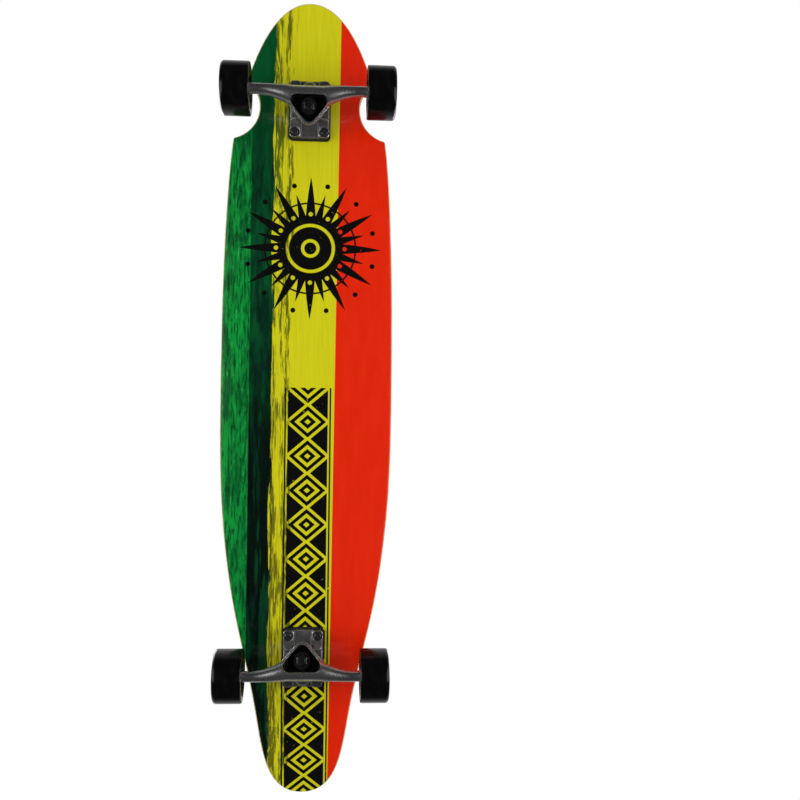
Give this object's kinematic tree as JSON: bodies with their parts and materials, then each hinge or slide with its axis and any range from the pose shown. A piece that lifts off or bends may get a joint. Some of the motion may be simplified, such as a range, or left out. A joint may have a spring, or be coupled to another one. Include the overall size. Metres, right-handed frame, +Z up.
{
  "type": "longboard skateboard",
  "caption": "Longboard skateboard: bowed ply deck with wheel cut-outs behind the nose, a low kicktail, gripped top, and sprung cast trucks carrying soft urethane wheels on ball bearings.",
  "frame": {"origin": "on the ground under the middle of the deck's length", "axes": "+X to the nose, +Y to the rider's left when facing the nose, +Z up"},
  "size_m": [1.118, 0.241, 0.1359],
  "materials": {
    "maple_ply": "pressed maple ply, underside painted in lengthwise stripes",
    "grip": "abrasive grit tape",
    "black_rubber": "moulded, matt",
    "black_urethane": "cast urethane, satin",
    "cast_aluminium": "cast and polished",
    "black_steel": "black oxide",
    "zinc_steel": "zinc plated",
    "bolt_steel": "dark zinc",
    "bearing_steel": "ground",
    "ball_steel": "polished",
    "shield": "pressed, dark",
    "cage_plastic": "moulded nylon",
    "wheel_urethane": "cast urethane, glossy",
    "core_plastic": "moulded nylon"
  },
  "bodies": {
    "board": {"deck": "maple_ply", "grip_tape": "grip", "front_riser_pad": "black_rubber", "front_baseplate": "cast_aluminium", "front_pivot_cup": "black_urethane", "front_kingpin": "black_steel", "front_kingpin_nut": "black_steel", "front_boardside_bushing": "black_urethane", "front_roadside_bushing": "black_urethane", "front_boardside_washer": "zinc_steel", "front_roadside_washer": "zinc_steel", "front_mounting_bolts": "bolt_steel", "front_mounting_nuts": "bolt_steel", "rear_riser_pad": "black_rubber", "rear_baseplate": "cast_aluminium", "rear_pivot_cup": "black_urethane", "rear_kingpin": "black_steel", "rear_kingpin_nut": "black_steel", "rear_boardside_bushing": "black_urethane", "rear_roadside_bushing": "black_urethane", "rear_boardside_washer": "zinc_steel", "rear_roadside_washer": "zinc_steel", "rear_mounting_bolts": "bolt_steel", "rear_mounting_nuts": "bolt_steel"},
    "front_truck": {"front_hanger": "cast_aluminium", "front_axle": "zinc_steel", "front_inner_races": "bearing_steel", "front_bearing_spacers": "zinc_steel", "front_speed_rings": "zinc_steel", "front_axle_nuts": "zinc_steel"},
    "rear_truck": {"rear_hanger": "cast_aluminium", "rear_axle": "zinc_steel", "rear_inner_races": "bearing_steel", "rear_bearing_spacers": "zinc_steel", "rear_speed_rings": "zinc_steel", "rear_axle_nuts": "zinc_steel"},
    "front_left_wheel": {"front_left_tyre": "wheel_urethane", "front_left_wheel_core": "core_plastic", "front_left_outer_races": "bearing_steel", "front_left_bearing_shields": "shield"},
    "front_left_ball_set": {"front_left_bearing_balls": "ball_steel", "front_left_bearing_cages": "cage_plastic"},
    "front_right_wheel": {"front_right_tyre": "wheel_urethane", "front_right_wheel_core": "core_plastic", "front_right_outer_races": "bearing_steel", "front_right_bearing_shields": "shield"},
    "front_right_ball_set": {"front_right_bearing_balls": "ball_steel", "front_right_bearing_cages": "cage_plastic"},
    "rear_left_wheel": {"rear_left_tyre": "wheel_urethane", "rear_left_wheel_core": "core_plastic", "rear_left_outer_races": "bearing_steel", "rear_left_bearing_shields": "shield"},
    "rear_left_ball_set": {"rear_left_bearing_balls": "ball_steel", "rear_left_bearing_cages": "cage_plastic"},
    "rear_right_wheel": {"rear_right_tyre": "wheel_urethane", "rear_right_wheel_core": "core_plastic", "rear_right_outer_races": "bearing_steel", "rear_right_bearing_shields": "shield"},
    "rear_right_ball_set": {"rear_right_bearing_balls": "ball_steel", "rear_right_bearing_cages": "cage_plastic"}
  },
  "joints": [
    {"name": "front_steer", "type": "hinge", "parent": "board", "child": "front_truck", "pos_m": [0.431, 0, 0.078], "axis": [0.8326, 0, 0.5539], "range_deg": [-15, 15], "stiffness_Nm_per_rad": 60, "deforming": ["front_boardside_bushing", "front_roadside_bushing"]},
    {"name": "rear_steer", "type": "hinge", "parent": "board", "child": "rear_truck", "pos_m": [-0.381, 0, 0.078], "axis": [-0.8326, 0, 0.5539], "range_deg": [-15, 15], "stiffness_Nm_per_rad": 60, "deforming": ["rear_boardside_bushing", "rear_roadside_bushing"]},
    {"name": "front_left_spin", "type": "hinge", "parent": "front_truck", "child": "front_left_wheel", "pos_m": [0.414, 0.0965, 0.035], "axis": [0, 1, 0], "continuous": true},
    {"name": "front_left_ball_spin", "type": "hinge", "parent": "front_truck", "child": "front_left_ball_set", "pos_m": [0.414, 0.0965, 0.035], "axis": [0, 1, 0], "continuous": true},
    {"name": "front_right_spin", "type": "hinge", "parent": "front_truck", "child": "front_right_wheel", "pos_m": [0.414, -0.0965, 0.035], "axis": [0, 1, 0], "continuous": true},
    {"name": "front_right_ball_spin", "type": "hinge", "parent": "front_truck", "child": "front_right_ball_set", "pos_m": [0.414, -0.0965, 0.035], "axis": [0, 1, 0], "continuous": true},
    {"name": "rear_left_spin", "type": "hinge", "parent": "rear_truck", "child": "rear_left_wheel", "pos_m": [-0.364, 0.0965, 0.035], "axis": [0, 1, 0], "continuous": true},
    {"name": "rear_left_ball_spin", "type": "hinge", "parent": "rear_truck", "child": "rear_left_ball_set", "pos_m": [-0.364, 0.0965, 0.035], "axis": [0, 1, 0], "continuous": true},
    {"name": "rear_right_spin", "type": "hinge", "parent": "rear_truck", "child": "rear_right_wheel", "pos_m": [-0.364, -0.0965, 0.035], "axis": [0, 1, 0], "continuous": true},
    {"name": "rear_right_ball_spin", "type": "hinge", "parent": "rear_truck", "child": "rear_right_ball_set", "pos_m": [-0.364, -0.0965, 0.035], "axis": [0, 1, 0], "continuous": true}
  ],
  "couplings": [
    {"joint": "front_left_ball_spin", "follows": "front_left_spin", "ratio": 0.62774},
    {"joint": "front_right_ball_spin", "follows": "front_right_spin", "ratio": 0.62774},
    {"joint": "rear_left_ball_spin", "follows": "rear_left_spin", "ratio": 0.62774},
    {"joint": "rear_right_ball_spin", "follows": "rear_right_spin", "ratio": 0.62774}
  ]
}
